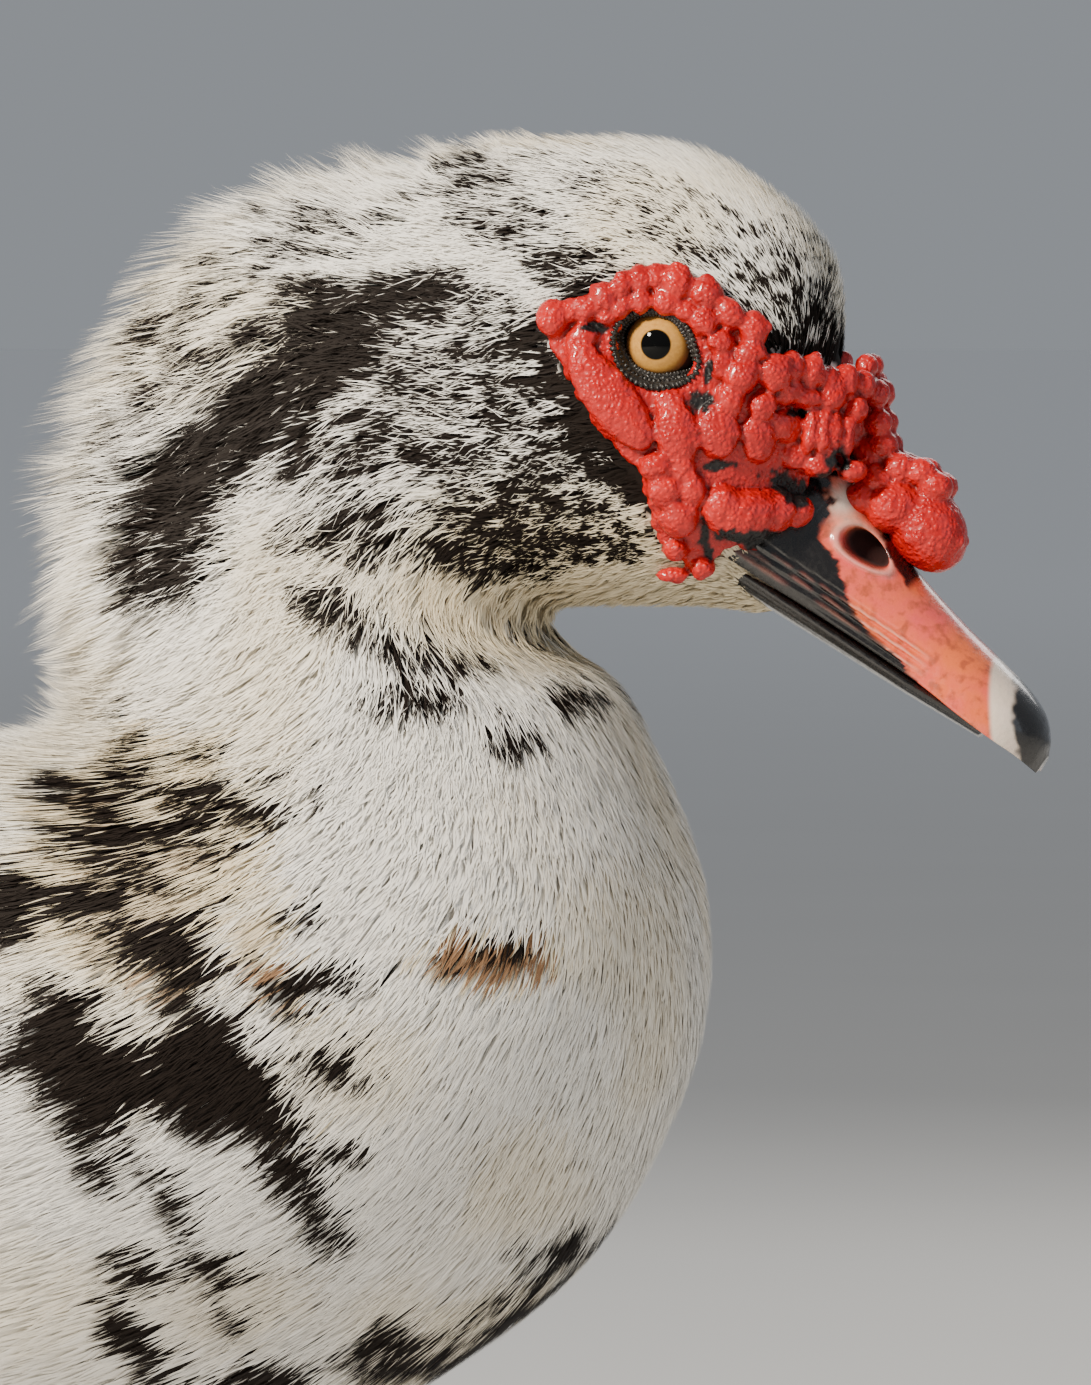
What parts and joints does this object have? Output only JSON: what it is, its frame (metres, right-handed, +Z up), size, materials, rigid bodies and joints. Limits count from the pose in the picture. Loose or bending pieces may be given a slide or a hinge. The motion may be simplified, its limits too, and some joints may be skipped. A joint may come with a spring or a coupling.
{
  "type": "muscovy duck",
  "caption": "Standing domestic duck with a drawn-in neck, red warty face, knobbed bill, folded wings, fanned tail and webbed feet; a still, life-size figure of the whole animal.",
  "frame": {"origin": "on the ground under the middle of the bird's overall length, on its plane of symmetry", "axes": "+X towards the bill, along the body; +Y towards the bird's left; +Z up"},
  "size_m": [0.581, 0.208, 0.3454],
  "materials": {
    "body_feathers": "soft matt white feathers with dark brown spots and streaks",
    "flight_feathers": "dark brown-black vanes with a faint green gloss",
    "caruncle": "moist, pebbled bare red skin with black in its creases",
    "bill": "smooth horn, pink with black base, edges and tip",
    "eye": "wet amber iris with a black pupil under a clear cornea",
    "lid": "black wrinkled bare skin",
    "leg_skin": "scaly yellowish-grey skin mottled with black",
    "claw": "dark horn"
  },
  "bodies": {
    "root": {"head": "body_feathers", "neck": "body_feathers", "torso": "body_feathers", "bill_upper": "bill", "bill_lower": "bill", "bill_knob": "caruncle", "caruncles_left": "caruncle", "caruncles_right": "caruncle", "eye_left": "eye", "eye_right": "eye", "lids_left": "lid", "lids_right": "lid", "wing_left": "flight_feathers", "wing_right": "flight_feathers", "tail": "flight_feathers", "thigh_left": "body_feathers", "shank_left": "leg_skin", "foot_left": "leg_skin", "claw_inner_left": "claw", "claw_middle_left": "claw", "claw_outer_left": "claw", "claw_hind_left": "claw", "thigh_right": "body_feathers", "shank_right": "leg_skin", "foot_right": "leg_skin", "claw_inner_right": "claw", "claw_middle_right": "claw", "claw_outer_right": "claw", "claw_hind_right": "claw"}
  },
  "joints": []
}
